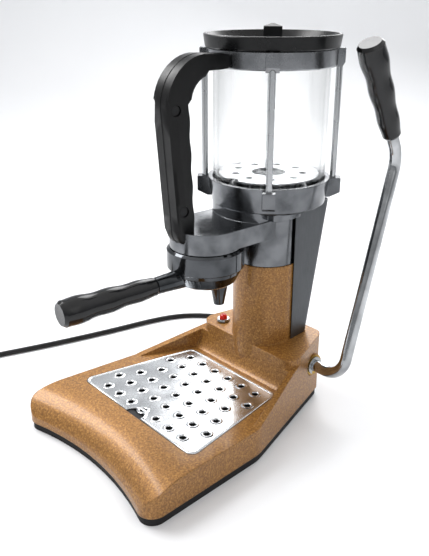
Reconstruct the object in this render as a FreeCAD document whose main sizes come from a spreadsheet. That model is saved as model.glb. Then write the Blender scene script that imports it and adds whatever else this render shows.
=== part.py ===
import FreeCAD, Part
import math
import os

import Sketcher
from FreeCAD import Placement, Rotation, Vector

# Manual lever espresso machine with a glass water reservoir, millimetres.
# X is across the machine and X = 0 is its plane of symmetry; the lever is on the +X side.
# The front, where the cup stands, faces -Y. Z = 0 is the table.
# X = Y = 0 is the common axis of the column, the pump cylinder and the reservoir.

SIZES = {
    # base casting
    "casting_wall": 3.0,
    "sole_depth": 8.0,
    "deck_level": 36.0,
    "front_reach": 219.0,          # column axis to the middle of the front edge
    "front_arc_radius": 300.0,     # the front edge curves in, seen from above
    "front_half_width": 104.0,
    "waist_half_width": 96.0,
    "waist_reach": 100.0,
    "rear_half_width": 49.6,
    "rear_reach": 36.0,
    "front_corner_radius": 14.0,
    "rear_corner_radius": 10.0,
    "waist_bend_radius": 40.0,
    "front_roll_depth": 46.0,
    "front_roll_lean": 8.0,
    "front_rim_level": 15.0,
    "shoulder_reach": 31.0,
    "shoulder_front_level": 66.0,
    "shoulder_rear_level": 74.0,
    "cove_reach": 41.0,
    "shoulder_corner_radius": 13.0,
    "side_rib_reach": 102.0,
    "side_rib_level": 60.0,        # where the rib meets the shoulder's side
    "side_rib_width": 7.0,
    # column, pump cylinder and piston
    "column_radius": 34.0,
    "column_back_reach": 28.5,     # the column is flat behind, under the cover
    "column_top": 153.0,
    "liner_outer_radius": 25.4,
    "liner_bore_radius": 24.0,
    "liner_bottom": 128.0,
    "sleeve_radius": 33.0,
    "piston_length": 16.0,
    "piston_top": 203.0,
    "piston_rod_radius": 5.0,
    "rod_guide_level": 94.0,
    "rod_guide_length": 10.0,
    "spring_wire_radius": 1.7,
    "spring_mean_radius": 18.0,
    # lever, cross shaft, sector gear and rack
    "shaft_radius": 6.0,
    "shaft_behind_column": 16.0,
    "shaft_level": 44.0,
    "lever_plane": 95.0,
    "lever_bend_radius": 20.0,
    "lever_rod_rise": 217.0,
    "lever_rod_lean": 15.2,
    "lever_elbow_radius": 34.0,
    "lever_grip_lean": 27.6,
    "lever_elbow_to_grip": 24.0,
    "gear_module": 1.5,
    "gear_pitch_radius": 15.0,
    "gear_width": 12.0,
    "lever_travel": 80.0,
    # grips of the lever and of the portafilter
    "grip_length": 95.0,
    "grip_end_radius": 13.4,
    "grip_neck_radius": 9.6,
    "running_gap": 0.05,
    "part_gap": 0.3,
    # brewing group and portafilter
    "group_offset": 82.3,
    "group_radius": 34.0,
    "group_bottom": 185.0,
    "group_top": 205.0,
    "spigot_radius": 32.8,
    "spigot_bottom": 168.0,
    "ring_radius": 37.0,
    "ring_bore_radius": 33.3,
    "ring_bottom": 164.7,
    "ring_top": 184.6,
    "cup_radius": 26.6,
    "cup_bottom": 149.0,
    "cup_wall": 2.5,
    "basket_wall": 0.8,
    "portafilter_turn": 5.0,
    "portafilter_travel": 35.0,
    "portafilter_grip_start": 56.5,
    "spout_offset": 16.0,
    "spout_length": 29.0,
    # reservoir
    "reservoir_floor": 212.0,
    "reservoir_floor_thickness": 6.0,
    "cup_ring_top": 238.7,
    "cup_ring_radius": 59.6,
    "cup_ring_foot_radius": 56.0,
    "glass_radius": 55.0,
    "glass_wall": 3.0,
    "seal_thickness": 2.0,
    "glass_bottom": 234.0,
    "top_ring_bottom": 343.0,
    "top_ring_top": 359.0,
    "top_ring_radius": 60.5,
    "rod_circle_radius": 62.7,
    "tie_rod_radius": 3.0,
    "top_lug_reach": 67.0,
    "cup_lug_reach": 70.0,
    "lug_width": 12.0,
    "lid_rim_radius": 63.9,
    "lid_top": 371.0,
    "lid_knob_width": 17.0,
    "lid_knob_top": 379.5,
    "guard_disc_gap": 3.0,
    "guard_disc_level": 240.2,
    # drip tray
    "tray_front_reach": 173.5,
    "tray_rear_reach": 47.0,
    "tray_front_half_width": 87.7,
    "tray_rear_half_width": 64.6,
    "tray_corner_radius": 8.0,
    "tray_lip": 5.0,
    "tray_fit": 0.6,
    "grid_thickness": 1.2,
    "pan_wall": 1.2,
    "pan_depth": 20.0,
    "hole_pitch": 20.0,
    "hole_radius": 3.2,
    "notch_radius": 11.0,
    # handle
    "handle_thickness": 20.0,
    "handle_front_reach": 131.0,
    "handle_grip_depth": 22.0,
    "handle_arm_top": 358.0,
    "handle_arm_depth": 14.0,
    "handle_foot_level": 192.0,
    "finger_wave": 1.2,
    # rear cover
    "cover_half_width": 35.5,
    "cover_sheet": 1.0,
    "cover_front": 4.0,
    "cover_top_reach": 55.0,
    "cover_foot_reach": 30.0,
    # mains lead
    "lead_radius": 3.0,
    "relief_length": 26.0,
    "relief_radius": 6.0,
    "lead_exit_side": 30.0,
    "lead_exit_level": 18.0,
    "coil_radius": 33.0,
    "coil_layers": 3.0,
}

doc = FreeCAD.newDocument("EspressoMachine")
sheet = doc.addObject("Spreadsheet::Sheet", "Sizes")
for row, (alias, number) in enumerate(SIZES.items(), 1):
    sheet.set(f"A{row}", alias)
    sheet.set(f"B{row}", str(number))
    sheet.setAlias(f"B{row}", alias)
doc.recompute()


class Dim:
    """A size with its number and the sheet expression that gives it."""

    def __init__(self, value, text=None):
        self.value = float(value)
        self.text = text or f"{self.value:.10g}"

    def _with(self, other, sign, result):
        other = dim(other)
        return Dim(result(self.value, other.value), f"({self.text} {sign} {other.text})")

    def __add__(self, other):
        return self._with(other, "+", lambda a, b: a + b)

    def __sub__(self, other):
        return self._with(other, "-", lambda a, b: a - b)

    def __mul__(self, other):
        return self._with(other, "*", lambda a, b: a * b)

    def __truediv__(self, other):
        return self._with(other, "/", lambda a, b: a / b)

    def __neg__(self):
        return Dim(0) - self

    def __radd__(self, other):
        return dim(other) + self

    def __rsub__(self, other):
        return dim(other) - self

    def __rmul__(self, other):
        return dim(other) * self

    def __float__(self):
        return self.value


def dim(thing):
    return thing if isinstance(thing, Dim) else Dim(thing)


class Sheet:
    """Every alias of the sheet as an attribute."""


S = Sheet()
for alias in SIZES:
    setattr(S, alias, Dim(sheet.get(alias), f"Sizes.{alias}"))

UPRIGHT = Rotation()
ALONG_X = Rotation(Vector(0, 1, 0), 90)
ALONG_Y = Rotation(Vector(1, 0, 0), -90)
parts = []


def place(obj, x=0, y=0, z=0, turn=UPRIGHT):
    obj.Placement = Placement(Vector(), turn)
    for axis, value in zip("xyz", (x, y, z)):
        obj.setExpression(f"Placement.Base.{axis}", dim(value).text)
    return obj


def bind(obj, **sizes):
    for name, value in sizes.items():
        setattr(obj, name, float(dim(value)))
        obj.setExpression(name, dim(value).text)
    return obj


def cylinder(name, radius, length, x=0, y=0, z=0, turn=UPRIGHT):
    obj = bind(doc.addObject("Part::Cylinder", name), Radius=radius, Height=length)
    return place(obj, x, y, z, turn)


def cone(name, radius_1, radius_2, length, x=0, y=0, z=0, turn=UPRIGHT):
    obj = bind(doc.addObject("Part::Cone", name), Radius1=radius_1, Radius2=radius_2, Height=length)
    return place(obj, x, y, z, turn)


def box(name, width, depth, height, x=0, y=0, z=0):
    """A box centred on x and y that stands on z."""
    obj = bind(doc.addObject("Part::Box", name), Length=width, Width=depth, Height=height)
    return place(obj, dim(x) - dim(width) / 2, dim(y) - dim(depth) / 2, z)


def torus(name, mean_radius, wire_radius, x=0, y=0, z=0):
    obj = bind(doc.addObject("Part::Torus", name), Radius1=mean_radius, Radius2=wire_radius)
    return place(obj, x, y, z)


def cut(name, base, *tools):
    obj = doc.addObject("Part::Cut", name)
    obj.Base = base
    obj.Tool = tools[0] if len(tools) == 1 else fuse(name + "_tools", *tools)
    return obj


def fuse(name, *shapes):
    obj = doc.addObject("Part::MultiFuse", name)
    obj.Shapes = list(shapes)
    return obj


def common(name, first, second):
    obj = doc.addObject("Part::Common", name)
    obj.Base = first
    obj.Tool = second
    return obj


def tube(name, outer, inner, length, x=0, y=0, z=0, turn=UPRIGHT):
    return cut(name, cylinder(name + "_outer", outer, length, x, y, z, turn),
               cylinder(name + "_bore", inner, length, x, y, z, turn))


def outline_sketch(body, name, plane, outline):
    """A closed outline of straight lines; every corner is held by the sheet's sizes."""
    sketch = body.newObject("Sketcher::SketchObject", name)
    support = [feature for feature in body.Origin.OriginFeatures if feature.Role == plane][0]
    sketch.AttachmentSupport = [(support, "")]
    sketch.MapMode = "FlatFace"
    corners = [(dim(a), dim(b)) for a, b in outline]
    count = len(corners)
    for i in range(count):
        here, there = corners[i], corners[(i + 1) % count]
        sketch.addGeometry(Part.LineSegment(Vector(here[0].value, here[1].value, 0),
                                            Vector(there[0].value, there[1].value, 0)))
    for i in range(count):
        sketch.addConstraint(Sketcher.Constraint("Coincident", i, 2, (i + 1) % count, 1))
    for i, corner in enumerate(corners):
        for kind, value in zip(("DistanceX", "DistanceY"), corner):
            index = sketch.addConstraint(Sketcher.Constraint(kind, -1, 1, i, 1, value.value))
            sketch.setExpression(f"Constraints[{index}]", value.text)
    return sketch


def turned(name, outline, x=0, y=0, z=0, turn=UPRIGHT):
    """A body of revolution; the outline is (radius, height) corners."""
    body = doc.addObject("PartDesign::Body", name)
    sketch = outline_sketch(body, name + "_outline", "XZ_Plane", outline)
    feature = body.newObject("PartDesign::Revolution", name + "_turn")
    feature.Profile = sketch
    feature.ReferenceAxis = (sketch, ["V_Axis"])
    feature.Angle = 360
    return place(body, x, y, z, turn)


def slab(name, outline, thickness, plane="YZ_Plane", x=0, y=0, z=0, turn=UPRIGHT, centred=True):
    """A flat body: the outline padded to its thickness."""
    body = doc.addObject("PartDesign::Body", name)
    sketch = outline_sketch(body, name + "_outline", plane, outline)
    feature = body.newObject("PartDesign::Pad", name + "_pad")
    feature.Profile = sketch
    feature.Midplane = centred
    bind(feature, Length=thickness)
    return place(body, x, y, z, turn)


def rounded(name, base, radius, wanted):
    """Fillets on the edges that wanted picks."""
    doc.recompute()
    obj = doc.addObject("Part::Fillet", name)
    obj.Base = base
    edges = [i for i, edge in enumerate(base.Shape.Edges, 1) if wanted(edge)]
    obj.Edges = [(i, float(radius), float(radius)) for i in edges]
    return obj


def is_upright(edge):
    a, b = edge.Vertexes[0].Point, edge.Vertexes[-1].Point
    return edge.Curve.TypeId == "Part::GeomLine" and abs(a.z - b.z) > 0.9 * edge.Length


def shaped(name, shape):
    """A shape made directly with Part's own functions."""
    obj = doc.addObject("Part::Feature", name)
    obj.Shape = shape
    return obj


def part(label, obj):
    """Registers a finished piece under the name that its file takes."""
    obj.Label = label
    parts.append((label, obj))
    return obj


def four_ways(make):
    """The same piece at the four corners between the axes."""
    return [make(index, Rotation(Vector(0, 0, 1), 45 + 90 * index)) for index in range(4)]


def on_rod_circle(index):
    """X and Y of one of the four places on the tie rods' circle."""
    reach = S.rod_circle_radius * math.sqrt(0.5)
    return [(reach, reach), (-reach, reach), (-reach, -reach), (reach, -reach)][index]


# ---------------------------------------------------------------- base casting

ARC_CENTRE = -S.front_reach - S.front_arc_radius
PIN_BEARING = -45.0
SLOT_END = 4.0
RIB_END = 0.0
BIG = 400.0


def drawn_in(corners, distance):
    """The corners of a convex outline moved inwards, so that every side moves by the distance."""
    moved = []
    for i, corner in enumerate(corners):
        back = (corners[i - 1] - corner).normalize()
        ahead = (corners[(i + 1) % len(corners)] - corner).normalize()
        half = back.getAngle(ahead) / 2
        moved.append(corner + (back + ahead).normalize() * (distance / math.sin(half)))
    return moved


def plan_face(inset):
    """The base's outline from above, drawn in by an inset."""
    front, waist, rear = float(S.front_reach), float(S.waist_reach), float(S.rear_reach)
    right = [(float(S.front_half_width), -front - 60), (float(S.front_half_width), -front),
             (float(S.waist_half_width), -waist), (float(S.rear_half_width), rear)]
    corners = [Vector(x, y, 0) for x, y in right] + [Vector(-x, y, 0) for x, y in reversed(right)]
    corners = drawn_in(corners, inset)
    block = Part.Face(Part.makePolygon(corners + corners[:1])).extrude(Vector(0, 0, 1))
    arc_centre = Vector(0, float(ARC_CENTRE), 0)
    block = block.cut(Part.makeCylinder(float(S.front_arc_radius) + inset, 1, arc_centre))
    bends = ((-front - 60, -front - 1, S.front_corner_radius),
             (rear - inset - 1, rear + 1, S.rear_corner_radius),
             (-waist - 3, -waist + 3, S.waist_bend_radius))
    for low, high, radius in bends:
        edges = [e for e in block.Edges if is_upright(e) and low < e.CenterOfMass.y < high]
        block = block.makeFillet(max(float(radius) - inset, 1.0), edges)
    bottom = [face for face in block.Faces if face.CenterOfMass.z < 1e-6][0]
    return Part.Face(bottom.OuterWire)


def prism(inset, low, high):
    face = plan_face(inset)
    face.translate(Vector(0, 0, low))
    return face.extrude(Vector(0, 0, high - low))


def across(corners, half_width):
    """A prism along X from (y, z) corners."""
    points = [Vector(-half_width, y, z) for y, z in corners]
    return Part.Face(Part.makePolygon(points + points[:1])).extrude(Vector(2 * half_width, 0, 0))


def rib_level(y):
    """Height of the side ribs' top at a distance from the column's axis."""
    rise = float(S.side_rib_level) - float(S.deck_level)
    run = float(S.side_rib_reach) - float(S.shoulder_reach) + float(S.shoulder_corner_radius)
    return float(S.deck_level) + rise * (y + float(S.side_rib_reach)) / run


def corner_offcuts(inset):
    """What leaves the shoulder's front corners round, down to the slope of the side ribs."""
    front = -float(S.shoulder_reach) + inset
    block = prism(inset, 0, BIG).common(Part.makeBox(2 * BIG, BIG, BIG, Vector(-BIG, front, 0)))
    edges = [e for e in block.Edges if is_upright(e) and abs(e.CenterOfMass.y - front) < 0.01]
    rounded_block = block.makeFillet(float(S.shoulder_corner_radius) - inset, edges)
    straight = max(v.X for v in rounded_block.Vertexes if abs(v.Y - front) < 0.01)
    above = across([(-BIG / 2, rib_level(-BIG / 2) - inset), (RIB_END, rib_level(RIB_END) - inset),
                    (RIB_END, BIG), (-BIG / 2, BIG)], BIG)
    between = Part.makeBox(2 * straight, BIG * 2, BIG * 3, Vector(-straight, -BIG, -BIG))
    return above.cut(between).cut(rounded_block)


def base_form(inset):
    """The outside of the base for an inset of 0, and its inside for the casting's wall."""
    deck = float(S.deck_level) - inset
    radius = float(S.front_arc_radius) + inset
    rim = float(S.front_rim_level) - inset
    depth = float(S.front_roll_depth)
    centre = Vector(0, float(ARC_CENTRE), 0)
    start, corner, end = [centre + Vector(0, r, z) for r, z in (
        (radius, rim), (radius + float(S.front_roll_lean), deck), (radius + depth, deck))]
    roll = Part.BezierCurve()
    roll.setPoles([start, corner, end])
    far = centre + Vector(0, BIG * 2, 0)
    edges = [Part.makeLine(Vector(0, start.y, 0), start), roll.toShape(),
             Part.makeLine(end, Vector(0, far.y, deck)), Part.makeLine(Vector(0, far.y, deck), far),
             Part.makeLine(far, Vector(0, start.y, 0))]
    section = Part.Face(Part.Wire(edges))
    low_part = section.revolve(centre, Vector(0, 0, 1), 360)
    front_level = float(S.shoulder_front_level) - inset
    rear_level = float(S.shoulder_rear_level) - inset
    front = -float(S.shoulder_reach) + inset
    foot = -float(S.cove_reach) + inset
    back = float(S.rear_reach) + 10
    cove = Part.BezierCurve()
    cove.setPoles([Vector(-BIG, foot, deck), Vector(-BIG, front, deck + 6), Vector(-BIG, front, front_level)])
    loop = [Vector(-BIG, front, front_level), Vector(-BIG, back, rear_level), Vector(-BIG, back, 0),
            Vector(-BIG, foot, 0), Vector(-BIG, foot, deck)]
    shoulder_edges = [cove.toShape()] + [Part.makeLine(a, b) for a, b in zip(loop, loop[1:])]
    shoulder = Part.Face(Part.Wire(shoulder_edges)).extrude(Vector(2 * BIG, 0, 0))
    form = low_part.fuse(shoulder.cut(corner_offcuts(inset)))
    if not inset:
        rib = across([(RIB_END, rib_level(RIB_END)), (-float(S.side_rib_reach), deck), (RIB_END, deck)], BIG)
        form = form.fuse(rib.cut(prism(float(S.side_rib_width), 0, BIG)))
    return form.common(prism(inset, 0, BIG)).removeSplitter()


outer_form = base_form(0).cut(Part.makeBox(2 * BIG, 2 * BIG, float(S.sole_depth), Vector(-BIG, -BIG, 0)))
inner_form = base_form(float(S.casting_wall))
base_outside = shaped("base_outside", outer_form)
base_inside = shaped("base_inside", inner_form)


def tray_outline(grow):
    """The drip tray's outline from above, grown by a distance on every side."""
    front, rear = S.tray_front_reach + grow, S.tray_rear_reach - grow
    half_front, half_rear = S.tray_front_half_width + grow, S.tray_rear_half_width + grow
    return [(half_front, -front), (half_rear, -rear), (-half_rear, -rear), (-half_front, -front)]


def tray_block(name, grow, low, height):
    """A block of the tray's outline with rounded corners."""
    block = slab(name + "_blank", tray_outline(grow), height, "XY_Plane", z=low, centred=False)
    return rounded(name, block, S.tray_corner_radius, is_upright)


rebate_floor = S.deck_level - S.grid_thickness - S.pan_wall
shaft_y = S.shaft_behind_column
boss_radius = S.shaft_radius + 6
bush_radius = S.shaft_radius + 2.5
shoulder_side = S.rear_half_width + 6.5
post_radius = 5.0
screw_radius = 2.0
front_post = (S.front_half_width - 18, -S.front_reach + 26)
rear_post = (S.rear_half_width + 3, -S.shoulder_reach + 10)
cover_plate_top = S.sole_depth + 2
pitch_line = S.shaft_behind_column - S.gear_pitch_radius
rack_depth = 8.0
guide_back = pitch_line - 1.25 * S.gear_module - rack_depth + 2 - S.part_gap
guide_front = -S.shoulder_reach + S.casting_wall + 1.6


def at_posts(make):
    """One piece for each of the four posts that hold the bottom cover."""
    places = [(side * x, y) for x, y in (front_post, rear_post) for side in (1, -1)]
    return [make(index, x, y) for index, (x, y) in enumerate(places)]


column_foot = S.deck_level - 6
column_extent = box("column_extent", 2 * S.column_radius + 2, S.column_back_reach + S.column_radius + 1, BIG,
                    0, (S.column_back_reach - S.column_radius - 1) / 2, column_foot)
column = common("base_column", cylinder("column_round", S.column_radius, S.column_top - column_foot,
                                        z=column_foot), column_extent)
posts = at_posts(lambda i, x, y: cylinder(f"base_post_{i}", post_radius, BIG, x, y, cover_plate_top))
posts_inside = common("base_posts_inside", fuse("base_posts", *posts), base_outside)
boss_face = shoulder_side + 0.6
bosses = cylinder("base_boss", boss_radius, 2 * boss_face, -boss_face, shaft_y, S.shaft_level, ALONG_X)
boss_gap = box("boss_gap", 2 * (boss_face - 14), 60, 60, 0, shaft_y, S.shaft_level - 30)
boss_ends = cut("base_boss_ends", bosses, boss_gap)
boss_seats = [cylinder(f"boss_seat_{name}", boss_radius + 0.5, 20, start, shaft_y, S.shaft_level, ALONG_X)
              for name, start in (("right", boss_face), ("left", -boss_face - 20))]
guide_boss = common("guide_boss", box("guide_boss_block", 16, 30, 14, 0, guide_front - 15, S.shaft_level - 7),
                    base_outside)
shell = cut("base_shell", fuse("base_outer", base_outside, column), base_inside)
column_bore = cylinder("column_bore", S.liner_outer_radius + 0.05, BIG, z=S.shoulder_front_level - 10)
guide_ledge = tube("guide_ledge", S.liner_outer_radius + 1, S.liner_outer_radius - 7,
                   4, z=S.rod_guide_level - S.rod_guide_length - 4)
base_solid = fuse("base_solid", shell, posts_inside, boss_ends, guide_boss)
bored = cut("base_bored", base_solid,
            column_bore,
            *boss_seats,
            cylinder("shaft_bore", bush_radius, BIG, -BIG / 2, shaft_y, S.shaft_level, ALONG_X),
            tray_block("tray_rebate", S.tray_fit, rebate_floor, BIG),
            tray_block("tray_opening", -S.tray_lip + S.tray_fit, cover_plate_top, BIG),
            cylinder("lead_bore", S.lead_radius + 1, 20, -S.lead_exit_side, S.rear_reach - 10,
                     S.lead_exit_level, ALONG_Y),
            cylinder("lamp_bore", 5.2, BIG, -S.rear_half_width + 2, -16, S.deck_level),
            *at_posts(lambda i, x, y: cylinder(f"post_hole_{i}", screw_radius + 0.05, 14, x, y,
                                               S.sole_depth)))
part("base_casting", fuse("base_casting_body", bored, guide_ledge))

sole_outer = shaped("sole_outer", prism(1.5, 0, float(S.sole_depth)))
sole_pocket = shaped("sole_pocket", prism(9.0, 2, float(S.sole_depth) + 1))
part("rubber_sole", cut("rubber_sole_tray", sole_outer, sole_pocket))

cover_blank = shaped("bottom_cover_blank",
                     prism(float(S.casting_wall) + 0.3, float(S.sole_depth), float(cover_plate_top)))
part("bottom_cover", cut("bottom_cover_plate", cover_blank,
                         *at_posts(lambda i, x, y: cylinder(f"cover_hole_{i}", screw_radius + 0.3, 8, x, y,
                                                            S.sole_depth - 2))))
part("bottom_cover_screws", fuse("bottom_cover_screw_set", *at_posts(
    lambda i, x, y: turned(f"bottom_screw_{i}", [(0, -2.2), (3.6, -2.2), (3.6, 0), (screw_radius, 0),
                                                 (screw_radius, 12), (0, 12)], x, y, S.sole_depth))))

# ---------------------------------------------------------------- drip tray

flange_level = rebate_floor
pan_top = flange_level + S.pan_wall
pan_outer = fuse("pan_outer",
                 tray_block("pan_flange", 0, flange_level, S.pan_wall),
                 tray_block("pan_bowl", -S.tray_lip, pan_top - S.pan_depth, S.pan_depth))
pan_hollow = tray_block("pan_hollow", -S.tray_lip - S.pan_wall, pan_top - S.pan_depth + S.pan_wall, BIG)
part("drip_pan", cut("drip_pan_body", pan_outer, pan_hollow))


def grid_holes():
    """Six staggered rows; each row is as wide as the tapering tray allows."""
    holes = []
    taper = (float(S.tray_front_half_width) - float(S.tray_rear_half_width)) / (
        float(S.tray_front_reach) - float(S.tray_rear_reach))
    for row in range(6):
        y = -S.tray_front_reach + 12 + S.hole_pitch * row
        shift = 0.5 * (row % 2)
        room = float(S.tray_front_half_width) - taper * (float(y) + float(S.tray_front_reach)) - 10.5
        most = math.floor(room / float(S.hole_pitch) - shift)
        steps = range(-most, most + 1) if shift == 0 else [k + 0.5 for k in range(-most - 1, most + 1)]
        for k in steps:
            holes.append(cylinder(f"grid_hole_{row}", S.hole_radius, 10, S.hole_pitch * k, y,
                                  S.deck_level - 5))
    return holes


grid_plate = tray_block("grid_plate", 0, pan_top, S.grid_thickness)
notch = cylinder("grid_notch", S.notch_radius, 10, 0, -S.tray_front_reach, S.deck_level - 5)
part("drip_grid", cut("drip_grid_plate", grid_plate, notch, *grid_holes()))

# ---------------------------------------------------------------- pump: cylinder, piston, rack, gear

liner_top = S.reservoir_floor - 4
duct_bore = shaped("duct_bore", Part.makeCylinder(
    3.0, 52, Vector(0, -float(S.liner_bore_radius) + 6, float(liner_top) - 5), Vector(0, -48, -20)))
part("cylinder_liner", cut("cylinder_liner_body",
                           tube("cylinder_liner_tube", S.liner_outer_radius, S.liner_bore_radius,
                                liner_top - S.liner_bottom, z=S.liner_bottom), duct_bore))
piston_bottom = S.piston_top - S.piston_length
piston_radius = S.liner_bore_radius - S.running_gap
groove = piston_radius - 2.5
piston_outline = [(0, piston_bottom), (piston_radius, piston_bottom)]
for level in (4, 10):
    piston_outline += [(piston_radius, piston_bottom + level - 1.5), (groove, piston_bottom + level - 1.5),
                       (groove, piston_bottom + level + 1.5), (piston_radius, piston_bottom + level + 1.5)]
piston_outline += [(piston_radius, S.piston_top), (0, S.piston_top)]
rod_hole = cylinder("piston_rod_hole", S.piston_rod_radius, 8, z=piston_bottom)
part("piston", cut("piston_body", turned("piston_blank", piston_outline), rod_hole))
part("piston_seals", fuse("piston_seal_pair", *[
    tube(f"piston_seal_{level}", piston_radius, groove, 3, z=piston_bottom + level - 1.5)
    for level in (4, 10)]))
rack_bottom = S.shaft_level - 12
rack_top = S.rod_guide_level - S.rod_guide_length - 2
tooth_pitch = math.pi * float(S.gear_module)
backlash = 0.35


def rack_outline():
    """The rack's side view: a flat back and straight-flanked teeth towards the gear."""
    tip = pitch_line + S.gear_module
    root = pitch_line - 1.25 * S.gear_module
    lean = math.tan(math.radians(20))
    corners = [(root - rack_depth + 2, rack_bottom), (root, rack_bottom)]
    count = int((float(rack_top) - float(rack_bottom)) / tooth_pitch)
    first = math.ceil((float(rack_bottom) + 2.6 - float(S.shaft_level)) / tooth_pitch)
    half = tooth_pitch / 4 - backlash / 2
    for k in range(first, first + count):
        middle = S.shaft_level + k * tooth_pitch
        if float(middle) > float(rack_top) - 2.6:
            break
        wide = half + 1.25 * float(S.gear_module) * lean
        narrow = half - float(S.gear_module) * lean
        corners += [(root, middle - wide), (tip, middle - narrow),
                    (tip, middle + narrow), (root, middle + wide)]
    return corners + [(root, rack_top), (root - rack_depth + 2, rack_top)]


rack_bar = slab("rack_bar", rack_outline(), S.gear_width - 2)
rod_root = cylinder("rod_root", S.piston_rod_radius, piston_bottom + 8 - rack_top + 3, z=rack_top - 3)
part("piston_rack", fuse("piston_rack_body", rack_bar, rod_root))


def sector_gear():
    """Involute teeth over the lever's travel, on a round hub with a keyed bore."""
    pitch, module = float(S.gear_pitch_radius), float(S.gear_module)
    teeth = round(2 * pitch / module)
    base_circle = pitch * math.cos(math.radians(20))
    tip, root = pitch + module * 0.95, pitch - 1.25 * module
    inv_20 = math.tan(math.radians(20)) - math.radians(20)
    half_tooth = math.pi / (2 * teeth) - backlash / 2 / pitch

    def flank(radius):
        angle = math.acos(min(1.0, base_circle / max(radius, base_circle)))
        return half_tooth + inv_20 - (math.tan(angle) - angle)

    radii = [root] + [base_circle + (tip - base_circle) * k / 5 for k in range(6)]
    width = float(S.gear_width)
    gear = Part.makeCylinder(root + 0.01, width, Vector(-width / 2, 0, 0), Vector(1, 0, 0))
    keep_from, keep_to = -25.0, float(S.lever_travel) + 25.0
    for index in range(teeth):
        angle = 360.0 / teeth * (index + 0.5)
        if angle > 180:
            angle -= 360
        if not keep_from <= angle <= keep_to:
            continue
        centre = math.pi - math.radians(angle)
        side = [(r, flank(r)) for r in radii]
        loop = [(r, centre + a) for r, a in side] + [(r, centre - a) for r, a in reversed(side)]
        loop = [(root - 1, centre + flank(root))] + loop + [(root - 1, centre - flank(root))]
        points = [Vector(-width / 2, r * math.cos(a), r * math.sin(a)) for r, a in loop]
        gear = gear.fuse(Part.Face(Part.makePolygon(points + points[:1])).extrude(Vector(width, 0, 0)))
    hub_cut = Part.makeCylinder(float(S.shaft_radius) + 4.5, width, Vector(-width / 2, 0, 0), Vector(1, 0, 0))
    rear_half = Part.makeBox(width, 40, 80, Vector(-width / 2, 3, -40)).cut(hub_cut)
    return gear.cut(rear_half)


gear_at = Placement(Vector(0, float(shaft_y), float(S.shaft_level)), Rotation())
gear_blank = shaped("sector_gear_blank", sector_gear())
gear_blank.Placement = gear_at
gear_pin_radius = 1.5
gear_pin_hole = cylinder("gear_pin_hole", gear_pin_radius, 2 * S.shaft_radius + 9.2, 0, shaft_y,
                         S.shaft_level - S.shaft_radius - 4.6)
shaft_through_gear = cylinder("gear_bore", S.shaft_radius, 40, -20, shaft_y, S.shaft_level, ALONG_X)
part("sector_gear", cut("sector_gear_body", gear_blank, shaft_through_gear, gear_pin_hole))
part("gear_pin", cylinder("gear_pin_body", gear_pin_radius, 2 * S.shaft_radius + 8, 0, shaft_y,
                          S.shaft_level - S.shaft_radius - 4))
guide_depth = guide_back - guide_front
part("rack_guide", box("rack_guide_block", 16, guide_depth, 14, 0, guide_back - guide_depth / 2,
                       S.shaft_level - 7))
part("rod_guide", tube("rod_guide_bush", S.liner_outer_radius, S.piston_rod_radius + S.running_gap,
                       S.rod_guide_length, z=S.rod_guide_level - S.rod_guide_length))


def return_spring():
    """A compression spring between the rod guide and the piston, with closed ends."""
    wire = float(S.spring_wire_radius)
    low, high = float(S.rod_guide_level) + wire + 0.1, float(piston_bottom) - wire - 0.1
    turns = 9
    helix = Part.makeHelix((high - low) / turns, high - low, float(S.spring_mean_radius))
    helix.translate(Vector(0, 0, low))
    start = Vector(float(S.spring_mean_radius), 0, low)
    section = Part.Wire([Part.makeCircle(wire, start, Vector(0, 1, 0))])
    return Part.Wire(helix).makePipeShell([section], True, True)


part("return_spring", shaped("return_spring_coil", return_spring()))

# ---------------------------------------------------------------- lever


def rounded_path(points, radii):
    """Straight runs joined by tangent arcs: one radius for each point between the ends."""
    edges = []
    start = points[0]
    for before, corner, after, radius in zip(points, points[1:], points[2:], radii):
        back = (before - corner).normalize()
        ahead = (after - corner).normalize()
        half = back.getAngle(ahead) / 2
        reach = radius / math.tan(half)
        first, last = corner + back * reach, corner + ahead * reach
        centre = corner + (back + ahead).normalize() * (radius / math.sin(half))
        middle = centre + (corner - centre).normalize() * radius
        edges += [Part.makeLine(start, first), Part.Arc(first, middle, last).toShape()]
        start = last
    edges.append(Part.makeLine(start, points[-1]))
    return Part.Wire(edges)


def swept_rod(path, radius):
    first = path.Edges[0]
    start, heading = first.valueAt(first.FirstParameter), first.tangentAt(first.FirstParameter)
    section = Part.Wire([Part.makeCircle(radius, start, heading)])
    return path.makePipeShell([section], True, False)


plane_x, lever_y, lever_z = float(S.lever_plane), float(shaft_y), float(S.shaft_level)
lean, tip = math.radians(float(S.lever_rod_lean)), math.radians(float(S.lever_grip_lean))
elbow = Vector(plane_x, lever_y + float(S.lever_rod_rise) * math.tan(lean), lever_z + float(S.lever_rod_rise))
grip_way = Vector(0, -math.sin(tip), math.cos(tip))
grip_start = elbow + grip_way * float(S.lever_elbow_to_grip)
tang_length = 0.6 * float(S.grip_length)
shaft_left = -float(shoulder_side) - 3.5
lever_path = rounded_path([Vector(shaft_left, lever_y, lever_z), Vector(plane_x, lever_y, lever_z), elbow,
                           grip_start + grip_way * tang_length],
                          [float(S.lever_bend_radius), float(S.lever_elbow_radius)])
bush_flange_outside = boss_face + 2
lever_blank = shaped("lever_blank", swept_rod(lever_path, float(S.shaft_radius)))
clip_groove = tube("clip_groove", S.shaft_radius + 2, S.shaft_radius - 0.8, 1.4, bush_flange_outside + 0.3,
                   shaft_y, S.shaft_level, ALONG_X)
lever_pin_hole = cylinder("lever_pin_hole", gear_pin_radius, 40, 0, shaft_y, S.shaft_level - 20)
part("lever_rod", cut("lever_rod_body", lever_blank, clip_groove, lever_pin_hole))
clip_outer = cylinder("clip_outer", S.shaft_radius + 3.4, 1.0, bush_flange_outside + 0.5, shaft_y,
                      S.shaft_level, ALONG_X)
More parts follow.
